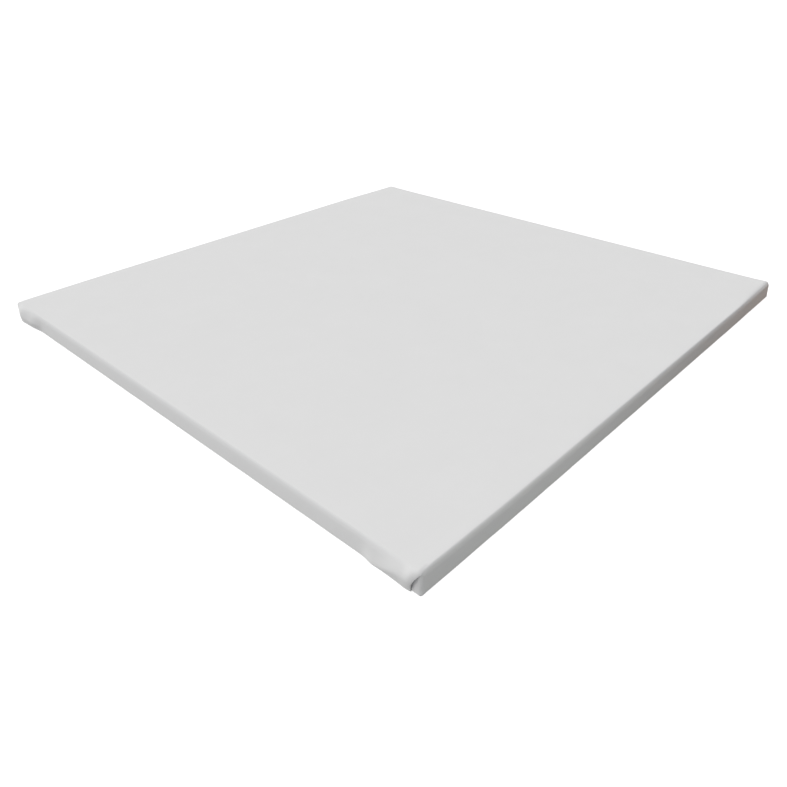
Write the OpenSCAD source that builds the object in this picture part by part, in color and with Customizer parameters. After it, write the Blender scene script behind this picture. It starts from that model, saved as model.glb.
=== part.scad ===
// Stretched canvas on four keyed stretcher bars, lying on its back with the painting face up.
// Millimetres. +Z is towards the painting face, and the origin is under the canvas's centre, on the
// plane that its four folded corners rest on. Each bar is drawn along X with its outer face on y = 0
// and its inner edge at y = bar_w, then turned to its side: south, east, north, west.

/* [Frame] */
// Length of the south and north bars, the nominal width
width = 600; // [300:50:900]
// Length of the east and west bars, the nominal height
height = 600; // [300:50:900]
// Width of a bar, from its outer face to its inner edge
bar_w = 40; // [36:1:50]
// Thickness of a bar at its outer lip
bar_t = 18; // [17:0.5:20]
// Thickness of a bar at its inner edge, lower than the lip so that it never touches the cloth
bar_t_in = 14.4; // [14:0.1:15]

/* [Corner joint] */
// Thickness of the wood behind the rear slot
cheek = 4.5; // [4.4:0.1:5]
// Height of each slot, and so of the tongue and the key in it
slot_t = 3.3; // [3:0.1:3.3]
// How far the keys hold each bar out from a closed mitre
opening = 1; // [0.5:0.1:1.5]
// Run of a key's taper for 1 mm of rise
taper = 7; // [6:1:9]
// How far a key's head stands out of its slot
key_head = 8; // [6:1:12]

/* [Cloth] */
// Thickness of the primed cloth
cloth = 0.6; // [0.4:0.1:0.8]
// How far the cloth reaches inwards over the bars' backs
turnover = 22; // [20:1:24]
// How far a corner's fold reaches along its side
fold_l = 46; // [44:1:50]

/* [Staples] */
// Staples along each bar, not counting those in the corner folds
staples_per_bar = 13; // [5:1:15]
// Outside width of a staple's crown
crown_l = 10.6; // [10:0.2:12]
// Height of a staple from its crown to its points
staple_h = 6; // [5:0.5:6]

/* [Hidden] */

SOUTH = 0;
EAST = 1;
NORTH = 2;
WEST = 3;
LEFT = -1;                      // the end of a bar at its own -X
RIGHT = 1;

gap = 0.05;                     // between pieces that touch
over = 1;                       // how far a cut runs past the face that it opens
fold_t = 2 * cloth;             // what a corner's fold adds to the sheet
bar_z = fold_t + cloth + gap;   // the bars' back faces
face_z = bar_z + bar_t + gap;   // the underside of the painting face
lip_w = 6.4;                    // outer lip that carries the cloth
lip_foot = [lip_w + 2.6, bar_t - 1.6];
edge_r = 4.4;                   // outer front edge, which the cloth turns over
back_r = 0.8;                   // the bar's other edges
arc_steps = 6;

rear_slot_z = bar_z + cheek;
front_slot_z = rear_slot_z + slot_t;
tongue_play = 0.1;              // above and below a tongue
tongue_short = 0.5;             // the tongue's end from the other bar's outer face, mitre closed
tongue_root = 5;                // how far a tongue starts inside its own bar
shoulder_out = 3;               // slot's depth past the closed mitre bar, at the outer face
key_play = 0.15;                // above and below a key
key_tip = 6;                    // from the outer face to the key's tip
key_chamfer = 0.8;

travel = opening - gap;         // how far each bar can move in before its mitres close
wire_t = 0.6;                   // staple wire, through the crown's thickness
wire_w = 1.2;                   // and across the crown
staple_y = 11;                  // crown's centre from the bar's outer face
staple_end = 62;                // outermost staple's centre from the bar's end, clear of the slots
fold_staple_x = [20, 37];       // the two staples in a fold, from the bar's end
hole_play = 0.15;
staple_bend = 0.9;              // outer radius of a staple's shoulders
vertical_r = 1.6;               // the cloth's vertical corner edges
fold_edge_low = 11;             // the fold's free edge, from the corner: at the back
fold_edge_high = 3;             // and at the front
fold_top = face_z - edge_r;     // the fold flattens out where the cloth turns onto the face
pad_l = fold_l - 3;             // the fold's pad on the back, along the side
pad_w = turnover - 1;           // and across it

function bar_length(side) = side % 2 == 0 ? width : height;
function outer_face(side) = (side % 2 == 0 ? height : width) / 2 + opening;
function arc(centre, r, from, to) =
    [for (i = [0:arc_steps]) let (a = from + (to - from) * i / arc_steps) centre + r * [cos(a), sin(a)]];
function shoulder(y) = bar_w + shoulder_out + y / taper;
function staple_xs(side) =
    let (reach = bar_length(side) / 2 - staple_end)
    [for (i = [0:staples_per_bar - 1]) reach * (2 * i / (staples_per_bar - 1) - 1)];
function skew(i, side) = 3.5 * sin(137 * i + 71 * side);

// Puts children on one side of the frame. Their z stays as it is.
module on_side(side) {
    rotate([0, 0, 90 * side]) translate([0, -outer_face(side), 0]) children();
}

// A prism along X from points in y and z.
module along_x(length, points) {
    rotate([90, 0, 90]) linear_extrude(length, center = true) polygon(points);
}

// ---- Stretcher bars ----

// Section of a bar: y runs inwards from the outer face, z up from the back.
function bar_section() = concat(
    arc([back_r, back_r], back_r, 180, 270),
    arc([bar_w - back_r, back_r], back_r, 270, 360),
    arc([bar_w - back_r, bar_t_in - back_r], back_r, 0, 90),
    [lip_foot, [lip_w, bar_t]],
    arc([edge_r, bar_t - edge_r], edge_r, 90, 180)
);

module bar_stock(length) {
    translate([0, 0, bar_z]) along_x(length + 2 * over, bar_section());
}

// Plan of the mitred bar, run past both long edges.
module mitred_plan(length) {
    polygon([
        [-length / 2 - over, -over], [length / 2 + over, -over],
        [length / 2 - bar_w - over, bar_w + over], [-length / 2 + bar_w + over, bar_w + over],
    ]);
}

// The slot that takes the other bar's tongue and a key, at one end. Its floor is the sloped shoulder.
module end_slot(length, end, z) {
    translate([0, 0, z]) linear_extrude(slot_t) polygon([
        [end * (length / 2 + over), -over], [end * (length / 2 - shoulder(-over)), -over],
        [end * (length / 2 - shoulder(bar_w + over)), bar_w + over],
        [end * (length / 2 + over), bar_w + over],
    ]);
}

// The square-ended tongue that fills the other bar's slot.
module end_tongue(length, end, z) {
    root = length / 2 - bar_w - tongue_root;
    tip = length / 2 - tongue_short;
    intersection() {
        bar_stock(length);
        translate([0, 0, z + tongue_play]) linear_extrude(slot_t - 2 * tongue_play)
            polygon([
                [end * root, -over], [end * tip, -over], [end * tip, bar_w + over], [end * root, bar_w + over],
            ]);
    }
}

// One bar. All four are alike: a rear slot and front tongue at the left, the reverse at the right.
module stretcher(side) {
    length = bar_length(side);
    color("burlywood") on_side(side) {
        difference() {
            intersection() {
                bar_stock(length);
                linear_extrude(bar_z + bar_t + over) mitred_plan(length);
            }
            end_slot(length, LEFT, rear_slot_z);
            end_slot(length, RIGHT, front_slot_z);
        }
        end_tongue(length, RIGHT, rear_slot_z);
        end_tongue(length, LEFT, front_slot_z);
    }
}

// ---- Corner keys ----

// A tapered key between the slot's sloped shoulder and the other bar's tongue.
module key(side, end, z) {
    straight = bar_w - opening + gap;
    head = bar_w + key_head;
    tip_side = shoulder(key_tip) - gap;
    color("tan") on_side(side) translate([end * bar_length(side) / 2, 0, z + key_play])
        linear_extrude(slot_t - 2 * key_play) scale([-end, 1]) polygon([
            [straight + key_chamfer, key_tip], [tip_side - key_chamfer, key_tip],
            [shoulder(key_tip + key_chamfer) - gap, key_tip + key_chamfer],
            [shoulder(head) - gap, head], [straight, head], [straight, key_tip + key_chamfer],
        ]);
}

// ---- Staples ----

// Side view of a staple, crown down: rounded shoulders and chisel points.
function staple_outline() =
    let (h = crown_l / 2, r = staple_bend, point = staple_h - 2 * wire_t)
    concat(
        arc([-h + r, r], r, 180, 270), arc([h - r, r], r, 270, 360),
        [[h, staple_h], [h - wire_t, point], [h - wire_t, wire_t], [-h + wire_t, wire_t],
         [-h + wire_t, point], [-h, staple_h]]
    );

module staple() {
    rotate([90, 0, 0]) linear_extrude(wire_w, center = true) polygon(staple_outline());
}

// The row of staples along a bar. Their crowns stand on the turned-over cloth.
module staple_row(side) {
    xs = staple_xs(side);
    color("silver") on_side(side) for (i = [0:len(xs) - 1])
        translate([xs[i], staple_y, fold_t - gap - wire_t]) rotate([0, 0, skew(i, side)]) staple();
}

// The two staples through a corner's fold. Their crowns are driven flush with it.
module fold_staples(side, end) {
    color("silver") on_side(side) for (x = fold_staple_x)
        translate([end * (bar_length(side) / 2 - x), staple_y, gap]) staple();
}

// ---- Canvas ----

// Section of a box with rounded lower and upper edges, h half wide.
function sheet_section(h, low, high, low_r, high_r) = concat(
    arc([-h + low_r, low + low_r], low_r, 180, 270),
    arc([h - low_r, low + low_r], low_r, 270, 360),
    arc([h - high_r, high - high_r], high_r, 0, 90),
    arc([-h + high_r, high - high_r], high_r, 90, 180)
);

// A box around the frame, grown by g from the bars' faces, with the bars' edge radii grown to match.
module wrap_box(g) {
    x = outer_face(EAST) + g;
    y = outer_face(SOUTH) + g;
    r = vertical_r - cloth - gap + g;
    section = function (h) sheet_section(h, bar_z - g, bar_z + bar_t + g, back_r + g, edge_r + g);
    intersection() {
        along_x(2 * x + 2 * over, section(y));
        rotate([0, 0, 90]) along_x(2 * y + 2 * over, section(x));
        linear_extrude(face_z + 2 * over) polygon(concat(
            arc([-x + r, -y + r], r, 180, 270), arc([x - r, -y + r], r, 270, 360),
            arc([x - r, y - r], r, 0, 90), arc([-x + r, y - r], r, 90, 180)
        ));
    }
}

// The folded cloth at one end of an east or west side: a wedge on the side and a pad on the back.
module corner_fold(side, end) {
    skin = -gap - cloth;
    root = skin + cloth / 2;
    plan = [[0, root], [fold_l, root], [fold_l, skin], [fold_edge_low, skin - fold_t], [0, skin - fold_t]];
    free_edge = [
        for (i = [0:arc_steps]) let (s = i / arc_steps)
            [fold_edge_low + (fold_edge_high - fold_edge_low) * s * s, fold_top * s]
    ];
    on_side(side) translate([end * (outer_face(side + 1) + gap + cloth), 0, 0]) scale([-end, 1, 1]) {
        intersection() {
            linear_extrude(face_z) polygon(plan);
            translate([0, over, 0]) rotate([90, 0, 0]) linear_extrude(fold_t + 3 * over) polygon(concat(
                free_edge, [[fold_l + over, fold_top], [fold_l + over, fold_t], [pad_l, fold_t], [pad_l, 0]]
            ));
        }
        linear_extrude(fold_t + cloth / 2) polygon([
            [fold_edge_low, root], [pad_w, pad_w], [pad_l, pad_w], [pad_l, root],
        ]);
    }
}

// Slots in the cloth for one staple's legs, long enough for the bar's travel.
module leg_slots() {
    for (end = [LEFT, RIGHT]) translate([end * (crown_l - wire_t) / 2, travel / 2, 0])
        linear_extrude(2 * bar_z, center = true)
            square([wire_t + 2 * hole_play, wire_w + travel + 2 * hole_play], center = true);
}

module staple_row_slots(side) {
    xs = staple_xs(side);
    on_side(side) for (i = [0:len(xs) - 1])
        translate([xs[i], staple_y, 0]) rotate([0, 0, skew(i, side)]) leg_slots();
}

// The pockets that a fold's staples are driven flush into, for their crowns and legs.
module fold_staple_pockets(side, end) {
    on_side(side) for (x = fold_staple_x) translate([end * (bar_length(side) / 2 - x), staple_y, 0]) {
        leg_slots();
        translate([0, travel / 2, 0]) linear_extrude(2 * (wire_t + 2 * gap), center = true)
            square([crown_l + 2 * hole_play, wire_w + travel + 2 * hole_play], center = true);
    }
}

// The cloth: painting face, four sides and the turned-over edge, open at the back.
module canvas() {
    back = [2 * (outer_face(EAST) - turnover), 2 * (outer_face(SOUTH) - turnover), 2 * bar_z];
    color("whitesmoke") difference() {
        union() {
            difference() {
                wrap_box(gap + cloth);
                wrap_box(gap);
                cube(back, center = true);
            }
            for (side = [EAST, WEST], end = [LEFT, RIGHT]) corner_fold(side, end);
        }
        for (side = [SOUTH:WEST]) staple_row_slots(side);
        for (side = [EAST, WEST], end = [LEFT, RIGHT]) fold_staple_pockets(side, end);
    }
}

canvas();
stretcher(SOUTH);  // stretcher_south
stretcher(EAST);  // stretcher_east
stretcher(NORTH);  // stretcher_north
stretcher(WEST);  // stretcher_west
key(SOUTH, LEFT, rear_slot_z);  // key_sw_rear
key(EAST, LEFT, rear_slot_z);  // key_se_rear
key(NORTH, LEFT, rear_slot_z);  // key_ne_rear
key(WEST, LEFT, rear_slot_z);  // key_nw_rear
key(WEST, RIGHT, front_slot_z);  // key_sw_front
key(SOUTH, RIGHT, front_slot_z);  // key_se_front
key(EAST, RIGHT, front_slot_z);  // key_ne_front
key(NORTH, RIGHT, front_slot_z);  // key_nw_front
staple_row(SOUTH);  // staples_south
staple_row(EAST);  // staples_east
staple_row(NORTH);  // staples_north
staple_row(WEST);  // staples_west
fold_staples(WEST, RIGHT);  // fold_staples_sw
fold_staples(EAST, LEFT);  // fold_staples_se
fold_staples(EAST, RIGHT);  // fold_staples_ne
fold_staples(WEST, LEFT);  // fold_staples_nw
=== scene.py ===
import math
import random
from collections import namedtuple

import bmesh
import bpy
from mathutils import Matrix, Vector, noise


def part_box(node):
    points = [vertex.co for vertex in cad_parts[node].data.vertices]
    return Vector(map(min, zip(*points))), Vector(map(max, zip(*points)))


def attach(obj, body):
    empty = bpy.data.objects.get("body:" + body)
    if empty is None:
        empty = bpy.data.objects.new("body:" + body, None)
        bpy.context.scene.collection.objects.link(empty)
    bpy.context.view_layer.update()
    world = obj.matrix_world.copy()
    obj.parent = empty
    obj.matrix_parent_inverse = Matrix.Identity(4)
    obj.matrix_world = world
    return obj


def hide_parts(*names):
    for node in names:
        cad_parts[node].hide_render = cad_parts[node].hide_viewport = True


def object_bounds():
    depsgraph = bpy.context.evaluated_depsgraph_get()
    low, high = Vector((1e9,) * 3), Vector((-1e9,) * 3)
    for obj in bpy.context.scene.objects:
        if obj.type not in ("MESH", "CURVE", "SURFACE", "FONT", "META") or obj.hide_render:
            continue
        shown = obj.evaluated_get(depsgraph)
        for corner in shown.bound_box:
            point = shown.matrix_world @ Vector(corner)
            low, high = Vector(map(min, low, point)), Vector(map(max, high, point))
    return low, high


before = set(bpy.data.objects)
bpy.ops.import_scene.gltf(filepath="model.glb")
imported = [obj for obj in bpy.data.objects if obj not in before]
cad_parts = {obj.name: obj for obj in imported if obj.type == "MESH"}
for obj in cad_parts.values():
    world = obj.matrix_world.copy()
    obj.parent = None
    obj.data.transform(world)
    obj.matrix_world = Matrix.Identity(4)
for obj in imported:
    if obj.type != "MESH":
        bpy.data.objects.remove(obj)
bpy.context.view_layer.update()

# A blank stretched canvas. Metres, in the frame's own coordinates: +Z out of the painting face.
# The bars, keys and staples are the frame's own solids with new materials. The cloth is built here from
# finished meshes: the sheet over the bars, and the corner folds that lie on it.

MM = 0.001
SIDES = ("south", "east", "north", "west")
CORNERS = {"sw": (-1, -1), "se": (1, -1), "ne": (1, 1), "nw": (-1, 1)}

# ---- Sizes, from the frame ----

CLOTH_LOW, CLOTH_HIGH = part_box("canvas")
ROW_LOW, ROW_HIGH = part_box("staples_south")

HALF = CLOTH_HIGH.y                 # the cloth's outer face on each side
FOLD = CLOTH_HIGH.x - HALF          # how far a fold stands out of its side
FACE = CLOTH_HIGH.z                 # the painting face
BACK = CLOTH_LOW.z + FOLD           # the turned-over edge's outer face
DEPTH = FACE - BACK
THICK = 0.6 * MM
TURNOVER = 22 * MM                  # how far the edge reaches over the bars' backs

FRONT_WIDE = 2.2 * MM               # the cloth's rounding onto the face, across the face
FRONT_TALL = 5.0 * MM               # and down the sides
BACK_R = 1.45 * MM                  # its outer radius where it turns onto the bars' backs
CORNER_R = 3.4 * MM                 # and round the four corners
CORNER_ZONE = 60 * MM               # the mesh is finer this near to an edge
FINE, COARSE = 3.8 * MM, 8 * MM     # spacing of the sheet's mesh there, and further in

STAPLES_PER_ROW = 13
CROWN = 10.6 * MM                   # a staple's length
STAPLE_PITCH = (ROW_HIGH.x - ROW_LOW.x - CROWN) / (STAPLES_PER_ROW - 1)
STAPLE_INSET = HALF + ROW_LOW.y     # how far in from the side the staples lie


def clamp(value, low, high):
    return max(low, min(high, value))


def mix(a, b, t):
    return a + (b - a) * t


def smooth(value, low=0.0, high=1.0):
    t = clamp((value - low) / (high - low), 0.0, 1.0)
    return t * t * (3 - 2 * t)


# ---- Shader graphs ----


class Graph:
    """A shader node tree, with short ways to add to it."""

    def __init__(self, owner):
        owner.use_nodes = True
        self.tree = owner.node_tree

    def put(self, node, index, value):
        if isinstance(value, bpy.types.NodeSocket):
            self.tree.links.new(value, node.inputs[index])
        elif value is not None:
            node.inputs[index].default_value = value

    def add(self, kind, inputs=None, **settings):
        node = self.tree.nodes.new("ShaderNode" + kind)
        for name, value in settings.items():
            setattr(node, name, value)
        for index, value in (inputs or {}).items():
            self.put(node, index, value)
        return node

    def math(self, operation, a, b=None, c=None):
        return self.add("Math", {0: a, 1: b, 2: c}, operation=operation).outputs[0]

    def noise(self, vector, scale, detail=2.0, rough=0.5):
        inputs = {"Vector": vector, "Scale": scale, "Detail": detail, "Roughness": rough}
        return self.add("TexNoise", inputs).outputs["Fac"]

    def ramp(self, value, *stops):
        node = self.add("ValToRGB", {0: value})
        while len(node.color_ramp.elements) < len(stops):
            node.color_ramp.elements.new(1.0)
        for element, (position, colour) in zip(node.color_ramp.elements, stops):
            element.position = position
            element.color = (*colour, 1.0)
        return node.outputs["Color"]

    def remap(self, value, low, high, to_low, to_high):
        inputs = {0: value, 1: low, 2: high, 3: to_low, 4: to_high}
        return self.add("MapRange", inputs).outputs[0]

    def blend(self, factor, a, b):
        return self.add("Mix", {0: factor, 6: a, 7: b}, data_type="RGBA").outputs[2]

    def place(self, vector, location=(0, 0, 0), rotation=(0, 0, 0), scale=(1, 1, 1)):
        return self.add("Mapping", {0: vector, 1: location, 2: rotation, 3: scale}).outputs[0]

    def coords(self, kind="Object"):
        return self.add("TexCoord").outputs[kind]

    def split(self, vector):
        node = self.add("SeparateXYZ", {0: vector})
        return node.outputs[0], node.outputs[1], node.outputs[2]

    def bump(self, height, strength, distance, normal=None):
        inputs = {"Height": height, "Strength": strength, "Distance": distance, "Normal": normal}
        return self.add("Bump", inputs).outputs[0]


class Finish(Graph):
    """A material's node graph around its Principled shader."""

    def __init__(self, name):
        self.material = bpy.data.materials.new(name)
        super().__init__(self.material)
        self.shader = self.tree.nodes["Principled BSDF"]
        self.output = self.tree.nodes["Material Output"]

    def finish(self, colour, roughness, normal=None, **more):
        self.put(self.shader, "Base Color", colour)
        self.put(self.shader, "Roughness", roughness)
        self.put(self.shader, "Normal", normal)
        for name, value in more.items():
            self.put(self.shader, name.replace("_", " "), value)
        return self.material


WEAVE_PITCH = 0.72 * MM             # from one thread to the next


def plain_weave(finish):
    """Height of a plain weave, and the tone of its threads, from the cloth's own coordinates."""
    cloth = finish.coords("UV")
    wander = finish.noise(cloth, 90, 2.0)
    u, v, _ = finish.split(cloth)
    u = finish.math("MULTIPLY_ADD", wander, 0.5, finish.math("DIVIDE", u, WEAVE_PITCH))
    v = finish.math("MULTIPLY_ADD", wander, -0.5, finish.math("DIVIDE", v, WEAVE_PITCH))
    wave_u = finish.math("SINE", finish.math("MULTIPLY", u, math.pi))
    wave_v = finish.math("SINE", finish.math("MULTIPLY", v, math.pi))
    heights = []
    for across, along, sign in ((wave_u, wave_v, 0.45), (wave_v, wave_u, -0.45)):
        dome = finish.math("ABSOLUTE", across)
        crossing = finish.math("MULTIPLY", finish.math("SIGN", across), along)
        heights.append(finish.math("MULTIPLY_ADD", crossing, sign, dome))
    height = finish.math("MAXIMUM", heights[0], heights[1])
    # Each thread is a little thicker or thinner than the next.
    warp = finish.add("TexWhiteNoise", {"W": finish.math("FLOOR", u)}, noise_dimensions="1D")
    weft = finish.add("TexWhiteNoise", {"W": finish.math("FLOOR", v)}, noise_dimensions="1D")
    threads = finish.math("ADD", warp.outputs["Value"], weft.outputs["Value"])
    height = finish.math("MULTIPLY_ADD", threads, 0.12, height)
    return height, threads


def primed_canvas():
    """White acrylic primer on cotton: the weave shows softly, filled by the primer."""
    finish = Finish("primed_canvas")
    weave, _ = plain_weave(finish)
    place = finish.coords()
    mottle = finish.noise(place, 26, 4.0, 0.6)
    grit = finish.noise(place, 2600, 2.0, 0.6)
    tone = finish.math("MULTIPLY_ADD", weave, 0.035, finish.math("MULTIPLY", mottle, 0.08))
    colour = finish.ramp(tone, (0.0, (0.805, 0.805, 0.802)), (0.14, (0.865, 0.865, 0.863)))
    roughness = finish.remap(mottle, 0.3, 0.7, 0.72, 0.86)
    normal = finish.bump(weave, 0.30, 0.09 * MM)
    normal = finish.bump(grit, 0.10, 0.05 * MM, normal)
    return finish.finish(colour, roughness, normal, Specular_IOR_Level=0.25)


def raw_canvas():
    """The unprimed back of the cloth: natural cotton, with its seeds and slubs."""
    finish = Finish("raw_canvas")
    weave, threads = plain_weave(finish)
    place = finish.coords()
    slubs = finish.noise(finish.place(place, scale=(40, 700, 400)), 1.0, 3.0)
    seeds = finish.noise(place, 950, 1.0, 0.4)
    tone = finish.math("MULTIPLY_ADD", threads, 0.15, finish.math("MULTIPLY", weave, 0.42))
    tone = finish.math("MULTIPLY_ADD", slubs, 0.35, tone)
    colour = finish.ramp(tone, (0.15, (0.46, 0.40, 0.29)), (0.95, (0.78, 0.72, 0.59)))
    seed = finish.remap(seeds, 0.74, 0.78, 0.0, 0.55)
    colour = finish.blend(seed, colour, (0.20, 0.13, 0.07, 1.0))
    normal = finish.bump(weave, 0.65, 0.14 * MM)
    return finish.finish(colour, 0.92, normal, Specular_IOR_Level=0.15, Sheen_Weight=0.15)


def cut_edge():
    """The cut edge of the cloth: the ends of its threads between primer and cotton."""
    finish = Finish("cut_edge")
    ends = finish.noise(finish.coords(), 1900, 2.0, 0.7)
    colour = finish.ramp(ends, (0.35, (0.52, 0.48, 0.40)), (0.65, (0.86, 0.84, 0.78)))
    normal = finish.bump(ends, 0.7, 0.2 * MM)
    return finish.finish(colour, 0.95, normal, Specular_IOR_Level=0.1)


# The cloth's materials by their slots: the primed face is the first.
RAW_BACK, CUT_EDGE = 1, 2


# ---- The cloth's surface ----

# What a fold does to an east or west side at one distance from the corner: how far it stands
# out at its ridge and at its back edge, how far its back edge hangs down, how thick it lies on
# the bars' backs, how deep its ridge is, how puffed it is from 0 to 1, and its back radius.
Swell = namedtuple("Swell", "top low hang pad ridge puffed back_r")
PLAIN = Swell(0.0, 0.0, 0.0, 0.0, DEPTH / 2, 0.0, BACK_R)

STANDS_OFF_X = 0.30 * MM            # the cloth stands this far off the east and west sides,
STANDS_OFF_Y = 0.65 * MM            # this far off the south and north sides,
AT_CORNERS = 0.60                   # this share of it at their corners,
BOW = 1.10 * MM                     # and this much further mid-span
EAST_WIDER = 2.0                    # the front edge is this much rounder at the east corners

UNEVEN_SCALE = 22                   # unevenness of the cloth, in lumps a metre
FULL_X = 0.30 * MM                  # how full the cloth lies at the back of the east and west sides
FULL_Y = 0.20 * MM, -0.10 * MM      # and of the south and north ones, at their ends and mid-span
BETWEEN_STAPLES = 0.08 * MM         # more of it between two staples
BELLY = 0.20 * MM                   # half-way down a side
BACK_WAVE = 0.22 * MM               # on the bars' backs, between two staples
LOOSE_EDGE = 0.17 * MM              # at the cut edge
BULK = 0.25 * MM                    # over the layers tucked in at a corner


def evenly(low, high, spacing):
    """Places from low to high, without low, about this far apart."""
    count = max(1, round((high - low) / spacing))
    return [mix(low, high, (i + 1) / count) for i in range(count)]


def edge_ticks(radius):
    """Distances from an edge that spread evenly over its rounding."""
    steps = 7
    return [radius * (1 - math.tan(math.pi / 4 * (1 - i / steps))) for i in range(steps + 1)]


def axis_ticks():
    """Places of the sheet's mesh lines across its width, from one side to the other."""
    near = edge_ticks(FRONT_WIDE)
    near += evenly(FRONT_WIDE, TURNOVER, 2.4 * MM)
    near += evenly(TURNOVER, CORNER_ZONE, FINE)
    near += evenly(CORNER_ZONE, HALF, COARSE)
    return [d - HALF for d in near] + [HALF - d for d in reversed(near[:-1])]


def depth_ticks():
    """Heights of the sheet's mesh lines on its sides, from the back to the face."""
    low = [BACK + d for d in edge_ticks(BACK_R)]
    high = [FACE - d for d in reversed(edge_ticks(FRONT_TALL))]
    return low + evenly(low[-1], high[0], 1.8 * MM)[:-1] + high


def soft_min(a, b, width):
    """The smaller of two values, with a rounded change from one to the other."""
    share = clamp(0.5 + 0.5 * (b - a) / width, 0.0, 1.0)
    return mix(b, a, share) - width * share * (1 - share)


def lies_on_back(point):
    """Whether a point of the sharp box is on its back."""
    return point.z < BACK + 0.1 * MM


def slack_on_back(inward, between, full, uneven):
    """The cloth's slack on the bars' backs, at a distance in from the side."""
    near_edge = 1 - smooth(inward, 0, 8 * MM)
    near_staples = 1 - smooth(abs(inward - STAPLE_INSET), 4 * MM, 12 * MM)
    lift = LOOSE_EDGE * (1 + uneven) * smooth(inward, 14 * MM, TURNOVER)
    return BACK_WAVE * between * near_staples + lift + near_edge * (full + 0.10 * MM * uneven)


def slack_on_side(down, full, uneven):
    """The cloth's slack on a side, from 0 at the face down to 1 at the back, and on the face."""
    belly = BELLY * math.sin(math.pi * down) + full * smooth(down, 0.25, 1.0)
    return belly + uneven * mix(0.03, 0.10, smooth(down, 0.0, 0.25)) * MM


def slack(point):
    """How far the taut cloth stands off its flat place, between its staples and over its edges."""
    x, y = abs(point.x), abs(point.y)
    along = point.y if x > y else point.x
    between = math.sin(math.pi * along / STAPLE_PITCH) ** 2
    uneven = noise.noise(Vector((point.x * UNEVEN_SCALE, point.y * UNEVEN_SCALE, 7.3)))
    full = FULL_X if x > y else mix(*FULL_Y, smooth(HALF - x, 30 * MM, 90 * MM))
    full += BETWEEN_STAPLES * between
    if lies_on_back(point):
        return slack_on_back(HALF - max(x, y), between, full, uneven)
    return slack_on_side((FACE - point.z) / DEPTH, full, uneven)


def corner_bulk(point):
    """How far the layers tucked in at a corner push the cloth out, most at its back."""
    from_x, from_y = HALF - abs(point.x), HALF - abs(point.y)
    near = 1 - smooth(from_x, 10 * MM, 50 * MM)
    near *= 1 - smooth(from_y, 10 * MM, 50 * MM)
    near *= 1 - smooth(min(from_x, from_y), 2 * MM, 7 * MM)
    return BULK * near * smooth(FACE - point.z, 3 * MM, DEPTH)


def stand_out(swell, depth):
    """How far an east or west side stands out at a depth below the face."""
    down = max(depth, 0.0) / swell.ridge
    slanted = soft_min(down, 1.0, 0.35)
    round_over = math.sqrt(min(down, 1.0) * (2 - min(down, 1.0)))
    reach = mix(swell.top, swell.low, smooth(depth, swell.ridge, DEPTH))
    return reach * mix(slanted, round_over, swell.puffed)


def edge_radii(point, swell):
    """The cloth's rounding from side to side at a point of the sharp box, across X and across Y."""
    front = smooth(point.z, FACE - FRONT_TALL, FACE)
    above_back = smooth(point.z, BACK, BACK + 5 * MM)
    east = smooth(point.x, HALF - 100 * MM, HALF - 20 * MM)
    front_wide = FRONT_WIDE * mix(1.0, EAST_WIDER, east)
    across = mix(mix(swell.back_r, CORNER_R, above_back), front_wide, front)
    ahead = mix(mix(BACK_R, CORNER_R, above_back), front_wide, front)
    return across, ahead


def pushed_out(place, point, swell):
    """A point of the rounded box, moved out by a fold's swell and by the cloth's stand-off."""
    x, y = abs(point.x), abs(point.y)
    out = stand_out(swell, FACE - place.z) * smooth(x, HALF - 10 * MM, HALF - 1 * MM)
    out += STANDS_OFF_X * smooth(x, HALF - TURNOVER, HALF)
    ahead = STANDS_OFF_Y * mix(AT_CORNERS, 1.0, smooth(HALF - x, 5 * MM, 30 * MM))
    ahead += BOW * smooth(HALF - x, 5 * MM, 110 * MM)
    ahead *= smooth(y, HALF - TURNOVER, HALF)
    return place + Vector((math.copysign(out, point.x), math.copysign(ahead, point.y), 0))


def rounded(point, swell=PLAIN):
    """A point of the sharp box round the cloth, moved to the cloth's outer face, and its normal."""
    down = clamp((FACE - point.z) / DEPTH, 0.0, 1.0)
    drop = mix(swell.pad, swell.hang, smooth(abs(point.x), HALF - 8 * MM, HALF - 2 * MM))
    z = point.z - drop * down ** 2
    across, ahead = edge_radii(point, swell)
    height = FRONT_TALL if z > FACE - FRONT_TALL else swell.back_r
    inner = Vector((
        clamp(point.x, across - HALF, HALF - across),
        clamp(point.y, ahead - HALF, HALF - ahead),
        clamp(z, BACK - drop + swell.back_r, FACE - FRONT_TALL),
    ))
    away = Vector((point.x, point.y, z)) - inner
    turn = Vector((away.x / across, away.y / ahead, away.z / height)).normalized()
    place = inner + Vector((turn.x * across, turn.y * ahead, turn.z * height))
    normal = Vector((turn.x / across, turn.y / ahead, turn.z / height)).normalized()
    return pushed_out(place, point, swell), normal


def cloth_point(point, height=0.0, swell=PLAIN):
    """A point of the sharp box, on the cloth, raised by height along the cloth's normal."""
    place, normal = rounded(point, swell)
    return place + normal * (slack(point) + corner_bulk(point) + height)


def cloth_uv(point, normal, sideways):
    """The cloth's own coordinates at a point of the sharp box, unfolded from the face."""
    x, y, down = point.x, point.y, FACE - point.z
    if normal.z > 0.5:
        return x, y
    if abs(normal.z) < 0.5:
        if abs(normal.x) > 0.5:
            return math.copysign(HALF + down, x), y
        return x, math.copysign(HALF + down, y)
    if sideways:
        return math.copysign(HALF + DEPTH + HALF - abs(x), x), y
    return x, math.copysign(HALF + DEPTH + HALF - abs(y), y)


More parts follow.
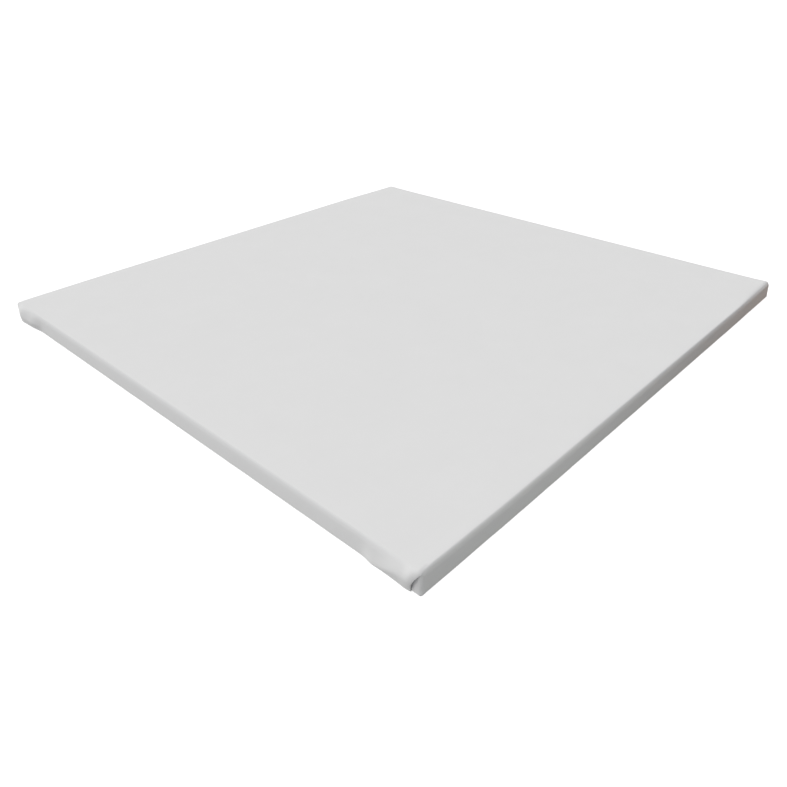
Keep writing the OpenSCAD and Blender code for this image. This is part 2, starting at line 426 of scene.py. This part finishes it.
def cut_line(point):
    """Moves the turned-over edge's cut line in and out a little, as scissors leave it."""
    inward = HALF - max(abs(point.x), abs(point.y))
    if inward < TURNOVER - 8 * MM or not lies_on_back(point):
        return point
    wander = noise.noise(Vector((point.x * 14, point.y * 14, 2.0)))
    wander += 0.35 * noise.noise(Vector((point.x * 90, point.y * 90, 5.0)))
    shift = wander * 0.9 * MM * smooth(inward, TURNOVER - 8 * MM, TURNOVER)
    moved = point.copy()
    if abs(point.x) > abs(point.y) - 1e-6:
        moved.x -= math.copysign(shift, point.x)
    if abs(point.y) > abs(point.x) - 1e-6:
        moved.y -= math.copysign(shift, point.y)
    return moved


# ---- Corner folds ----

PAD_T = 0.60 * MM                   # the folded layers' thickness on the bars' backs
PUFF_LOW = 3 * MM                   # and the radius of their back edge
CREASE_TOP = 0.3 * MM               # the fold's free edge: from the corner, at the face
CREASE_LOW = 7.6 * MM               # at the back edge
CREASE_IN = TURNOVER - 0.6 * MM     # and at the cut line
UNDER = 0.8 * MM                    # how far the sheet dips under a fold
FACE_REACH = 8 * MM                 # the fold's outer layer runs into the face this far in
SINK = 4 * MM                       # and ends just under it over this length
LAYER_STEPS, NOSE_STEPS = 28, 6     # mesh steps over its outer layer, and round its free edge

FAR_PART = 15 * MM, 45 * MM         # the fold's near part turns into its far part between these
FAR_TOP = 0.68                      # share of its stand-out that its upper part keeps there

# Each corner's fold: how far it stands out at its ridge and at the back edge, how far it hangs
# down, how deep its ridge is in its near and in its far part, and how far from the corner it is
# puffed, its upper part rises, its upper and its lower part thin out, and its cloth ends.
Fold = namedtuple("Fold", "top low hang ridge deeper puffed rises top_thins low_thins reach")
FOLDS = {
    "sw": Fold(
        top=3.8 * MM, low=1.6 * MM, hang=0.7 * MM, ridge=7.2 * MM, deeper=17 * MM,
        puffed=15 * MM, rises=(-2 * MM, 9 * MM), top_thins=(40 * MM, 54 * MM),
        low_thins=(39 * MM, 57 * MM), reach=57 * MM,
    ),
    "se": Fold(
        top=2.6 * MM, low=1.4 * MM, hang=0.6 * MM, ridge=6.0 * MM, deeper=11 * MM,
        puffed=20 * MM, rises=(-2 * MM, 9 * MM), top_thins=(26 * MM, 44 * MM),
        low_thins=(30 * MM, 47 * MM), reach=50 * MM,
    ),
    "ne": Fold(
        top=3.0 * MM, low=1.6 * MM, hang=0.6 * MM, ridge=5.5 * MM, deeper=10 * MM,
        puffed=25 * MM, rises=(-2 * MM, 9 * MM), top_thins=(30 * MM, 46 * MM),
        low_thins=(32 * MM, 50 * MM), reach=52 * MM,
    ),
    "nw": Fold(
        top=6.4 * MM, low=2.8 * MM, hang=0.9 * MM, ridge=9.2 * MM, deeper=9.6 * MM,
        puffed=42 * MM, rises=(0, 23 * MM), top_thins=(40 * MM, 62 * MM),
        low_thins=(31 * MM, 58 * MM), reach=62 * MM,
    ),
}


def crease_at(down, inward):
    """A fold's free edge: its distance from the corner, down the side and then in over the back."""
    low = mix(CREASE_TOP, CREASE_LOW, math.sin(math.pi / 2 * down))
    return mix(low, CREASE_IN, inward / TURNOVER)


def fold_swell(corner, along, share=1.0):
    """The swell of a fold's side at a distance from the corner."""
    fold = FOLDS[corner]
    far = smooth(along, *FAR_PART)
    upper = share * smooth(along, *fold.rises) * mix(1.0, FAR_TOP, far)
    upper *= 1 - smooth(along, *fold.top_thins)
    lower = share * smooth(along, 3 * MM, 14 * MM) * (1 - smooth(along, *fold.low_thins))
    hanging = lower * (1 - 0.8 * smooth(along, 15 * MM, 35 * MM))
    return Swell(
        top=fold.top * upper,
        low=fold.low * lower,
        hang=fold.hang * hanging,
        pad=PAD_T * lower,
        ridge=mix(fold.ridge, fold.deeper, far),
        puffed=1 - smooth(along, 0.3 * fold.puffed, fold.puffed),
        back_r=mix(BACK_R, PUFF_LOW, lower),
    )


def place_in_fold(point):
    """A point's distance from the corner, in over the back and in on the face, and its depth."""
    along, inset = HALF - abs(point.y), HALF - abs(point.x)
    down = clamp((FACE - point.z) / DEPTH, 0.0, 1.0)
    on_back = inset if lies_on_back(point) else 0.0
    on_face = inset if point.z > FACE - 0.1 * MM else 0.0
    return along, on_back, on_face, down


def sheet_point(point):
    """A point of the sheet, which dips under the folds on its east and west sides."""
    along, on_back, on_face, down = place_in_fold(point)
    if on_back > TURNOVER or on_face > FACE_REACH or abs(point.x) < HALF - TURNOVER:
        return cloth_point(point)
    corner = ("s" if point.y < 0 else "n") + ("w" if point.x < 0 else "e")
    reach = FOLDS[corner].reach
    beyond = along - crease_at(down, on_back)
    covered = smooth(beyond, 0.5 * MM, 8 * MM)
    dip = smooth(beyond, mix(-1.2, -0.4, down) * MM, 1.0 * MM)
    dip *= 1 - smooth(along, reach - 4 * SINK, reach - SINK)
    dip *= 1 - smooth(on_face, 0, FACE_REACH)
    return cloth_point(point, -UNDER * dip, fold_swell(corner, along, covered))


def fold_path():
    """Points across a fold's side of the box, as distance out and height, from the face to the back."""
    last = FACE_REACH + SINK
    face = [(HALF - last + d, FACE) for d in [0] + evenly(0, SINK, 2 * MM)[:-1]]
    face += [(HALF - d, FACE) for d in evenly(0, FACE_REACH, 0.6 * MM)[::-1]]
    side = [(HALF, z) for z in evenly(BACK + BACK_R, FACE, 0.8 * MM)[::-1]]
    side += [(HALF, BACK + d) for d in edge_ticks(BACK_R)[::-1]]
    back = [(HALF - d, BACK) for d in edge_ticks(BACK_R)[1:]]
    back += [(HALF - d, BACK) for d in evenly(BACK_R, TURNOVER - 0.3 * MM, 1.8 * MM)]
    return face + side + back


def fold_section(corner, point):
    """The fold's outline across one point of its path: distances from the corner, and heights."""
    _, on_back, on_face, down = place_in_fold(point)
    reach = FOLDS[corner].reach
    crease = crease_at(down, on_back)
    sink = smooth(on_face, FACE_REACH, FACE_REACH + SINK)
    # The lip is how far the free edge rolls up, and the nose is the radius of its fold.
    lip = mix(0.32, 0.42, smooth(down, 0.0, 0.25)) * MM * (1 - smooth(on_face, 0, 4 * MM))
    nose = mix(0.22, 0.58, smooth(down, 0.0, 0.45)) * MM
    outline = []
    for i in range(LAYER_STEPS + 1):
        along = mix(reach, crease + nose, i / LAYER_STEPS)
        end = smooth(along, reach - SINK, reach)
        roll = lip * (1 - smooth(along - crease, 1 * MM, 12 * MM))
        outline.append((along, roll + (0.02 - 0.08 * max(end, sink)) * MM))
    top = outline[-1][1]
    for i in range(1, NOSE_STEPS + 1):
        angle = math.pi * i / NOSE_STEPS
        outline.append((crease + nose - nose * math.sin(angle), top - nose + nose * math.cos(angle)))
    outline.append((crease + nose + 3 * MM, top - 2 * nose))
    outline.append((crease + nose + 9 * MM, -1.3 * UNDER))
    outline.append((reach - SINK, -1.2 * UNDER))
    outline.append((reach, -0.5 * UNDER))
    return outline


def join_rings(mesh, uv, rings, coords):
    """Faces from each closed ring of vertices to the next, with the cloth's coordinates."""
    for i in range(len(rings) - 1):
        for j in range(len(rings[0])):
            k = (j + 1) % len(rings[0])
            corners = [(i, j), (i, k), (i + 1, k), (i + 1, j)]
            face = mesh.faces.new([rings[a][b] for a, b in corners])
            face.smooth = True
            for loop, (a, b) in zip(face.loops, corners):
                loop[uv].uv = coords[a][b]


def fold_mesh(corner, side, end):
    """One corner's fold: the taut cloth of an east or west side over the tuck beneath it."""
    mesh = bmesh.new()
    uv = mesh.loops.layers.uv.new("cloth")
    rings, coords = [], []
    for out, height in fold_path():
        ring, flat = [], []
        middle = Vector((side * out, 0, height))
        _, on_back, on_face, down = place_in_fold(middle)
        # How far this point of the path is from the face's edge, unfolded.
        unfolded = HALF - on_face + down * DEPTH + on_back
        for along, rise in fold_section(corner, middle):
            point = Vector((side * out, end * (HALF - along), height))
            ring.append(mesh.verts.new(cloth_point(point, rise, fold_swell(corner, along))))
            flat.append((side * unfolded, end * (HALF - along)))
        rings.append(ring)
        coords.append(flat)
    join_rings(mesh, uv, rings, coords)
    mesh.faces.new(rings[0])
    cut = mesh.faces.new(rings[-1])
    cut.material_index = CUT_EDGE
    bmesh.ops.recalc_face_normals(mesh, faces=mesh.faces)
    return mesh


# ---- The sheet ----


class Sheet:
    """Builds a cloth mesh from points of the sharp box, joined where they meet."""

    def __init__(self):
        self.mesh = bmesh.new()
        self.uv = self.mesh.loops.layers.uv.new("cloth")
        self.known = {}

    def vert(self, point):
        key = tuple(round(c / MM, 3) for c in point)
        if key not in self.known:
            self.known[key] = self.mesh.verts.new(sheet_point(cut_line(point)))
        return self.known[key]

    def quad(self, points):
        face = self.mesh.faces.new([self.vert(p) for p in points])
        face.smooth = True
        normal = (points[1] - points[0]).cross(points[2] - points[0]).normalized()
        middle = sum(points, Vector()) / len(points)
        sideways = abs(middle.x) > abs(middle.y)
        for loop, point in zip(face.loops, points):
            loop[self.uv].uv = cloth_uv(point, normal, sideways)

    def patch(self, us, vs, place):
        for u0, u1 in zip(us, us[1:]):
            for v0, v1 in zip(vs, vs[1:]):
                self.quad([place(u0, v0), place(u1, v0), place(u1, v1), place(u0, v1)])


def on_flap(x0, x1, y0, y1):
    """Whether a cell of the back lies on the turned-over edge."""
    return max(abs(x0 + x1), abs(y0 + y1)) / 2 > HALF - TURNOVER


def sheet_mesh():
    """The whole sheet's outer face: painting face, sides and turned-over edge."""
    sheet = Sheet()
    across, up = axis_ticks(), depth_ticks()
    sheet.patch(across, across, lambda x, y: Vector((x, y, FACE)))
    sheet.patch(across, up, lambda x, z: Vector((x, -HALF, z)))
    sheet.patch(up, across, lambda z, x: Vector((x, HALF, z)))
    sheet.patch(across, up, lambda y, z: Vector((HALF, y, z)))
    sheet.patch(up, across, lambda z, y: Vector((-HALF, y, z)))
    for x0, x1 in zip(across, across[1:]):
        for y0, y1 in zip(across, across[1:]):
            if on_flap(x0, x1, y0, y1):
                corners = ((x0, y0), (x0, y1), (x1, y1), (x1, y0))
                sheet.quad([Vector((x, y, BACK)) for x, y in corners])
    return sheet.mesh


def as_object(name, mesh, *materials):
    """A new object in the scene from a finished mesh."""
    data = bpy.data.meshes.new(name)
    mesh.to_mesh(data)
    mesh.free()
    made = bpy.data.objects.new(name, data)
    bpy.context.scene.collection.objects.link(made)
    for material in materials:
        data.materials.append(material)
    return made


LOOSE_THREADS = 46
THREAD_R = 0.13 * MM
THREAD_STEPS, THREAD_SIDES = 7, 5   # mesh steps along a thread, and round it


def thread_ring(mesh, turn, point, ahead, radius):
    """One ring of a thread's tube round a point, square to the way ahead."""
    across = ahead.cross(Vector((0, 0, 1))).normalized()
    up = across.cross(ahead)
    ring = []
    for j in range(THREAD_SIDES):
        angle = 2 * math.pi * j / THREAD_SIDES
        offset = across * math.cos(angle) + up * math.sin(angle)
        ring.append(mesh.verts.new(turn @ (point + offset * radius)))
    return ring


def loose_thread(mesh, draw):
    """One short thread that hangs from the cut edge, as a thin bent tube."""
    reach = HALF - TURNOVER
    place = draw.uniform(-0.9, 0.9) * reach
    turn = Matrix.Rotation(draw.randrange(4) * math.pi / 2, 4, "Z")
    length = draw.uniform(2.5, 9.0) * MM
    lean = draw.uniform(-0.9, 0.9)
    curl = draw.uniform(-1.6, 1.6)
    point = Vector((place, -reach - 1.0 * MM, BACK + 0.1 * MM))
    rings = []
    for i in range(THREAD_STEPS + 1):
        part = i / THREAD_STEPS
        angle = lean + curl * part
        ahead = Vector((math.sin(angle), math.cos(angle), 0.10 - 0.25 * part)).normalized()
        rings.append(thread_ring(mesh, turn, point, ahead, THREAD_R * (1 - 0.5 * part)))
        point = point + ahead * length / THREAD_STEPS
    for low, high in zip(rings, rings[1:]):
        for j in range(THREAD_SIDES):
            k = (j + 1) % THREAD_SIDES
            mesh.faces.new((low[j], low[k], high[k], high[j])).smooth = True
    mesh.faces.new(rings[0])
    mesh.faces.new(rings[-1])


def thread_mesh():
    """All the loose threads at the cut edge."""
    mesh = bmesh.new()
    draw = random.Random(7)
    for _ in range(LOOSE_THREADS):
        loose_thread(mesh, draw)
    bmesh.ops.recalc_face_normals(mesh, faces=mesh.faces)
    return mesh


def make_cloth():
    """The sheet with its thickness, its four folds and the threads at its cut edge."""
    finishes = primed_canvas(), raw_canvas(), cut_edge()
    sheet = as_object("canvas_cloth", sheet_mesh(), *finishes)
    shell = sheet.modifiers.new("thickness", "SOLIDIFY")
    shell.thickness = THICK
    shell.offset = -1
    shell.use_even_offset = True
    shell.material_offset = RAW_BACK
    shell.material_offset_rim = CUT_EDGE
    pieces = [sheet]
    for corner, (side, end) in CORNERS.items():
        pieces.append(as_object("fold_" + corner, fold_mesh(corner, side, end), *finishes))
    pieces.append(as_object("cut_threads", thread_mesh(), finishes[CUT_EDGE]))
    for piece in pieces:
        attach(piece, "canvas")
        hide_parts("canvas")


# ---- Wood and steel ----


def sawn_wood(name, along, seed, pale, dark, ring_pitch):
    """Straight-grained softwood or hardwood, its rings and fibres running along the given axis."""
    finish = Finish(name)
    turn = (0, 0, math.pi / 2) if along == "y" else (0, 0, 0)
    shift = (seed * 1.7, seed * 0.31, seed * 0.23)
    place = finish.place(finish.coords(), location=shift, rotation=turn)
    # The rings lie round the tree's heart, which is outside the piece, and sway along it.
    sway = finish.noise(finish.place(place, scale=(2.2, 14, 14)), 1.0, 2.0)
    _, y, z = finish.split(place)
    heart_y = finish.math("ADD", y, 0.055 + 0.01 * math.sin(seed * 5))
    heart_z = finish.math("ADD", z, 0.048)
    square_z = finish.math("MULTIPLY", heart_z, heart_z)
    spread = finish.math("MULTIPLY_ADD", heart_y, heart_y, square_z)
    radius = finish.math("MULTIPLY_ADD", sway, 0.010, finish.math("SQRT", spread))
    rings = finish.math("FRACT", finish.math("DIVIDE", radius, ring_pitch))
    late = finish.math("POWER", rings, 3.0)
    fibres = finish.noise(finish.place(place, scale=(14, 620, 620)), 1.0, 5.0, 0.7)
    pores = finish.noise(finish.place(place, scale=(45, 1500, 1500)), 1.0, 2.0)
    patches = finish.noise(finish.place(place, scale=(5, 30, 30)), 1.0, 3.0)
    tone = finish.math("MULTIPLY_ADD", late, 0.42, finish.math("MULTIPLY", fibres, 0.45))
    tone = finish.math("MULTIPLY_ADD", patches, 0.20, tone)
    tone = finish.math("MULTIPLY_ADD", finish.remap(pores, 0.56, 0.66, 0.0, 1.0), 0.22, tone)
    colour = finish.ramp(tone, (0.15, pale), (0.95, dark))
    roughness = finish.remap(fibres, 0.2, 0.8, 0.55, 0.75)
    height = finish.math("MULTIPLY_ADD", pores, 0.6, finish.math("MULTIPLY", late, 0.5))
    normal = finish.bump(height, 0.35, 0.12 * MM)
    return finish.finish(colour, roughness, normal, Specular_IOR_Level=0.3)


def staple_steel():
    """Zinc-plated wire, drawn along its length and a little dull."""
    finish = Finish("staple_steel")
    place = finish.coords()
    drawn = finish.noise(finish.place(place, scale=(2500, 2500, 2500)), 1.0, 2.0)
    dull = finish.noise(place, 300, 3.0)
    colour = finish.ramp(dull, (0.3, (0.50, 0.50, 0.50)), (0.7, (0.72, 0.72, 0.73)))
    roughness = finish.remap(drawn, 0.3, 0.7, 0.38, 0.58)
    normal = finish.bump(drawn, 0.25, 0.05 * MM)
    return finish.finish(colour, roughness, normal, Metallic=1.0)


def repaint(node, material):
    """Gives a carried node one material in place of its own."""
    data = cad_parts[node].data
    data.materials.clear()
    data.materials.append(material)


def soften_edges(node, width):
    """Bevels a carried node's sharp edges by a little."""
    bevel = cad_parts[node].modifiers.new("worn_edges", "BEVEL")
    bevel.width = width
    bevel.segments = 2
    bevel.limit_method = "ANGLE"
    bevel.angle_limit = math.radians(40)


PINE_PALE, PINE_DARK = (0.74, 0.55, 0.34), (0.50, 0.30, 0.14)
KEY_PALE, KEY_DARK = (0.66, 0.47, 0.28), (0.42, 0.25, 0.12)


def dress_frame():
    """Materials and worn edges for the bars, keys and staples."""
    steel = staple_steel()
    for index, side in enumerate(SIDES):
        along = "x" if side in ("south", "north") else "y"
        pine = sawn_wood("pine_" + side, along, 1.0 + index, PINE_PALE, PINE_DARK, 2.6 * MM)
        repaint("stretcher_" + side, pine)
        soften_edges("stretcher_" + side, 0.25 * MM)
        repaint("staples_" + side, steel)
        soften_edges("staples_" + side, 0.12 * MM)
    for index, corner in enumerate(CORNERS):
        # The rear and front keys of a corner lie across each other.
        rear_along = "x" if corner in ("se", "nw") else "y"
        front_along = "y" if rear_along == "x" else "x"
        for layer, along in (("rear", rear_along), ("front", front_along)):
            name = f"key_{corner}_{layer}"
            seed = 11.0 + 2 * index + (layer == "front")
            repaint(name, sawn_wood(name, along, seed, KEY_PALE, KEY_DARK, 1.7 * MM))
            soften_edges(name, 0.15 * MM)
        repaint("fold_staples_" + corner, steel)
        soften_edges("fold_staples_" + corner, 0.12 * MM)


# ---- Stage, light and camera ----

WHITE = (1.0, 1.0, 1.0, 1.0)


def camera_only(made):
    """Hides an object from every ray but the camera's own."""
    made.visible_diffuse = made.visible_glossy = False
    made.visible_transmission = made.visible_shadow = False


def make_floor():
    """A pale floor that shows only to the camera, and only from above."""
    mesh = bmesh.new()
    bmesh.ops.create_grid(mesh, x_segments=1, y_segments=1, size=10)
    finish = Finish("pale_floor")
    paint = finish.add("BsdfDiffuse", {0: (0.42, 0.42, 0.43, 1.0)}).outputs[0]
    glow = finish.add("Emission", {0: WHITE, 1: 0.88}).outputs[0]
    above = finish.add("AddShader", {0: paint, 1: glow}).outputs[0]
    below = finish.add("BsdfTransparent").outputs[0]
    behind = finish.add("NewGeometry").outputs["Backfacing"]
    either = finish.add("MixShader", {0: behind, 1: above, 2: below}).outputs[0]
    finish.put(finish.output, "Surface", either)
    floor = as_object("floor", mesh, finish.material)
    floor.location.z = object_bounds()[0].z - 0.05 * MM
    camera_only(floor)


# A pale room, and how much brighter it is towards +X, +Y and +Z.
SURROUND = (0.611, 0.611, 0.612)
SURROUND_SLOPES = ((-0.055, -0.056, -0.059), (0.651, 0.649, 0.625), (0.345, 0.345, 0.347))


def make_world():
    """A surround that is white to the camera, and an even, gently graded light to the object."""
    world = bpy.data.worlds.new("studio")
    bpy.context.scene.world = world
    graph = Graph(world)
    light = SURROUND
    for along, slope in zip(graph.split(graph.coords("Generated")), SURROUND_SLOPES):
        inputs = {0: along, 1: slope, 2: light}
        light = graph.add("VectorMath", inputs, operation="MULTIPLY_ADD").outputs[0]
    light = graph.add("VectorMath", {0: light, 1: (0, 0, 0)}, operation="MAXIMUM").outputs[0]
    seen = graph.add("Background", {0: WHITE}).outputs[0]
    lit = graph.add("Background", {0: light}).outputs[0]
    camera_ray = graph.add("LightPath").outputs["Is Camera Ray"]
    either = graph.add("MixShader", {0: camera_ray, 1: lit, 2: seen}).outputs[0]
    graph.put(graph.tree.nodes["World Output"], "Surface", either)


def add_panel(name, size, energy, colour, place, toward):
    """A square light panel that the camera doesn't see."""
    lamp = bpy.data.lights.new(name, "AREA")
    lamp.size = size
    lamp.energy = energy
    lamp.color = colour
    made = bpy.data.objects.new(name, lamp)
    made.location = place
    made.rotation_mode = "QUATERNION"
    made.rotation_quaternion = (made.location - Vector(toward)).to_track_quat("Z", "Y")
    made.visible_camera = False
    bpy.context.scene.collection.objects.link(made)


def add_hollow_lamp():
    """A lamp under the canvas without falloff, so that the whole back is lit alike."""
    lamp = bpy.data.lights.new("hollow", "POINT")
    lamp.energy = 12
    lamp.shadow_soft_size = 0.2 * HALF
    graph = Graph(lamp)
    falloff = graph.add("LightFalloff", {"Strength": 1.0}).outputs["Constant"]
    graph.put(graph.tree.nodes["Emission"], "Strength", falloff)
    made = bpy.data.objects.new("hollow", lamp)
    made.location.z = -HALF
    made.visible_camera = made.visible_glossy = False
    bpy.context.scene.collection.objects.link(made)


def make_light():
    """Soft panels: high on the left, low before the south side, and a warm one at its right."""
    side = 2 * HALF
    high = Vector((-1.16, -0.83, 2.0)) * side
    near = Vector((-0.41, -1.24, -0.17)) * side
    warm = Vector((0.70, -0.91, -0.20)) * side
    add_panel("high_panel", side, 0.48, (1.0, 1.0, 1.0), high, (0, 0, 0))
    add_panel("near_panel", 0.5 * HALF, 0.48, (0.97, 1.0, 0.93), near, (-0.17 * side, -HALF, 0))
    add_panel("warm_panel", 0.5 * HALF, 0.10, (1.0, 0.52, 0.17), warm, (0.41 * side, -HALF, 0))
    add_hollow_lamp()


# The camera's place and the point of the face it looks at, from the face's centre, in sides.
CAMERA_PLACE = Vector((-0.8899, -0.8472, 0.5477))
CAMERA_AIM = Vector((-0.2152, -0.2142, 0.0))
CAMERA_ROLL = -0.01425
CAMERA_LENS = 32.58
CAMERA_SHIFT = (-0.01432, -0.02505)


def make_camera():
    """The camera at the photo's viewing angle."""
    data = bpy.data.cameras.new("camera")
    data.lens = CAMERA_LENS
    data.shift_x, data.shift_y = CAMERA_SHIFT
    camera = bpy.data.objects.new("camera", data)
    bpy.context.scene.collection.objects.link(camera)
    side = 2 * HALF
    centre = Vector((0, 0, FACE))
    camera.location = centre + CAMERA_PLACE * side
    look = (CAMERA_AIM - CAMERA_PLACE).to_track_quat("-Z", "Y").to_matrix()
    camera.rotation_euler = look.to_euler()
    camera.rotation_euler.rotate_axis("Z", CAMERA_ROLL)
    bpy.context.scene.camera = camera


make_cloth()
dress_frame()
make_floor()
make_world()
make_light()
make_camera()
bpy.context.scene.view_settings.view_transform = "Standard"
